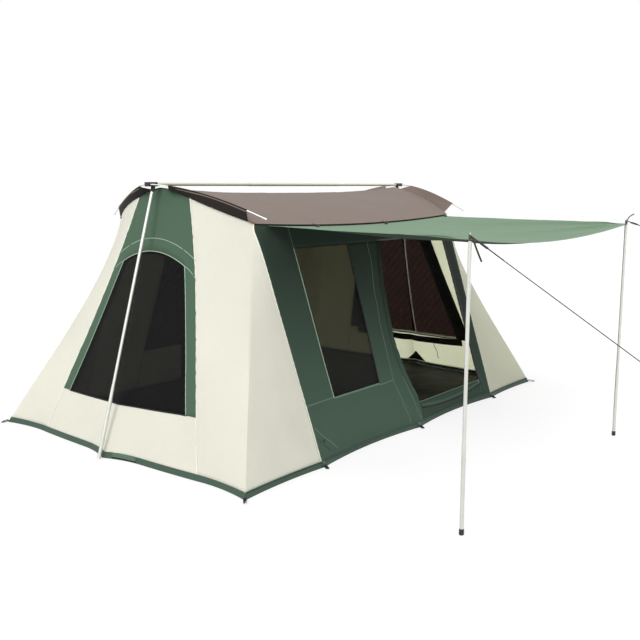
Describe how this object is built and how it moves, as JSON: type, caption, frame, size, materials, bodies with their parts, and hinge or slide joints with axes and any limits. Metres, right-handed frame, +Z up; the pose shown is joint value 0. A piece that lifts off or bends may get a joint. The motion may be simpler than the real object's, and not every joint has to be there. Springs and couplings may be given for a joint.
{
  "type": "canvas wall tent",
  "caption": "Canvas tent with sloping walls, mesh windows, an outside ridge pole on leaning uprights, bowed roof rods and a front awning on poles held by guy ropes.",
  "frame": {"origin": "centre of the tent floor on the ground", "axes": "+X along the ridge pole towards the far end, -Y out of the door under the awning, +Z up"},
  "size_m": [4.4917, 5.0976, 2.067],
  "materials": {
    "cream_canvas": "woven cotton canvas, matt",
    "green_canvas": "woven cotton canvas, matt",
    "taupe_canvas": "coated roof canvas, matt",
    "awning_canvas": "woven cotton canvas, lit from above",
    "black_mesh": "fine insect mesh",
    "floor_vinyl": "coated fabric floor, matt",
    "hem_vinyl": "coated fabric band, matt",
    "galvanised_steel": "galvanised tube, satin",
    "black_steel": "black paint, satin",
    "guy_rope": "braided cord",
    "slider_plastic": "moulded, matt",
    "zip_metal": "dull metal"
  },
  "bodies": {
    "tent": {"near_end_frame": "green_canvas", "near_end_sill": "cream_canvas", "near_end_screen": "black_mesh", "near_front_corner": "cream_canvas", "near_back_corner": "cream_canvas", "far_end_frame": "green_canvas", "far_end_sill": "cream_canvas", "far_end_screen": "black_mesh", "far_front_corner": "cream_canvas", "far_back_corner": "cream_canvas", "front_left_panel": "green_canvas", "front_window_sill": "green_canvas", "front_header": "green_canvas", "front_mid_panel": "green_canvas", "front_door_sill": "green_canvas", "front_right_panel": "green_canvas", "front_window_screen": "black_mesh", "front_door_roll": "green_canvas", "back_frame": "cream_canvas", "back_sill": "cream_canvas", "back_screen": "black_mesh", "front_hem": "hem_vinyl", "back_hem": "hem_vinyl", "near_hem": "hem_vinyl", "far_hem": "hem_vinyl", "floor": "floor_vinyl", "roof": "taupe_canvas", "ridge_middle": "galvanised_steel", "ridge_near": "galvanised_steel", "ridge_far": "galvanised_steel", "near_upright_lower": "galvanised_steel", "near_upright_upper": "galvanised_steel", "near_ridge_bracket": "black_steel", "near_front_visor": "taupe_canvas", "near_front_rod": "galvanised_steel", "near_back_visor": "taupe_canvas", "near_back_rod": "galvanised_steel", "far_upright_lower": "galvanised_steel", "far_upright_upper": "galvanised_steel", "far_ridge_bracket": "black_steel", "far_front_visor": "taupe_canvas", "far_front_rod": "galvanised_steel", "far_back_visor": "taupe_canvas", "far_back_rod": "galvanised_steel", "awning": "awning_canvas", "awning_pole_near_upper": "galvanised_steel", "guy_rope_near": "guy_rope", "guy_hook_near": "galvanised_steel", "awning_pole_far_upper": "galvanised_steel", "guy_rope_far": "guy_rope", "guy_hook_far": "galvanised_steel"},
    "ridge_button_near_body": {"ridge_button_near": "galvanised_steel"},
    "ridge_button_far_body": {"ridge_button_far": "galvanised_steel"},
    "upright_button_near_body": {"upright_button_near": "galvanised_steel"},
    "upright_button_far_body": {"upright_button_far": "galvanised_steel"},
    "awning_pole_near_lower_body": {"awning_pole_near_lower": "galvanised_steel"},
    "awning_pole_far_lower_body": {"awning_pole_far_lower": "galvanised_steel"},
    "guy_slider_near_body": {"guy_slider_near": "slider_plastic"},
    "guy_slider_far_body": {"guy_slider_far": "slider_plastic"},
    "door_zip_slider_body": {"door_zip_slider": "zip_metal"}
  },
  "joints": [
    {"name": "ridge_button_near_press", "type": "slide", "parent": "tent", "child": "ridge_button_near_body", "axis": [0, 1, 0], "range_m": [0, 0.0033], "stiffness_N_per_m": 600, "springref_m": -0.004},
    {"name": "ridge_button_far_press", "type": "slide", "parent": "tent", "child": "ridge_button_far_body", "axis": [0, 1, 0], "range_m": [0, 0.0033], "stiffness_N_per_m": 600, "springref_m": -0.004},
    {"name": "upright_button_near_press", "type": "slide", "parent": "tent", "child": "upright_button_near_body", "axis": [0, 1, 0], "range_m": [0, 0.0033], "stiffness_N_per_m": 600, "springref_m": -0.004},
    {"name": "upright_button_far_press", "type": "slide", "parent": "tent", "child": "upright_button_far_body", "axis": [0, 1, 0], "range_m": [0, 0.0033], "stiffness_N_per_m": 600, "springref_m": -0.004},
    {"name": "awning_pole_near_telescope", "type": "slide", "parent": "tent", "child": "awning_pole_near_lower_body", "axis": [0, 0, 1], "range_m": [0, 0.43]},
    {"name": "awning_pole_far_telescope", "type": "slide", "parent": "tent", "child": "awning_pole_far_lower_body", "axis": [0, 0, 1], "range_m": [0, 0.43]},
    {"name": "guy_slider_near_slide", "type": "slide", "parent": "tent", "child": "guy_slider_near_body", "axis": [0.5545, -0.5947, -0.5821], "range_m": [-0.03, 0.11]},
    {"name": "guy_slider_far_slide", "type": "slide", "parent": "tent", "child": "guy_slider_far_body", "axis": [0.6725, -0.6725, -0.309], "range_m": [-0.025, 0.04]},
    {"name": "door_zip_slide", "type": "slide", "parent": "tent", "child": "door_zip_slider_body", "axis": [-1, 0, 0], "range_m": [0, 1]}
  ]
}
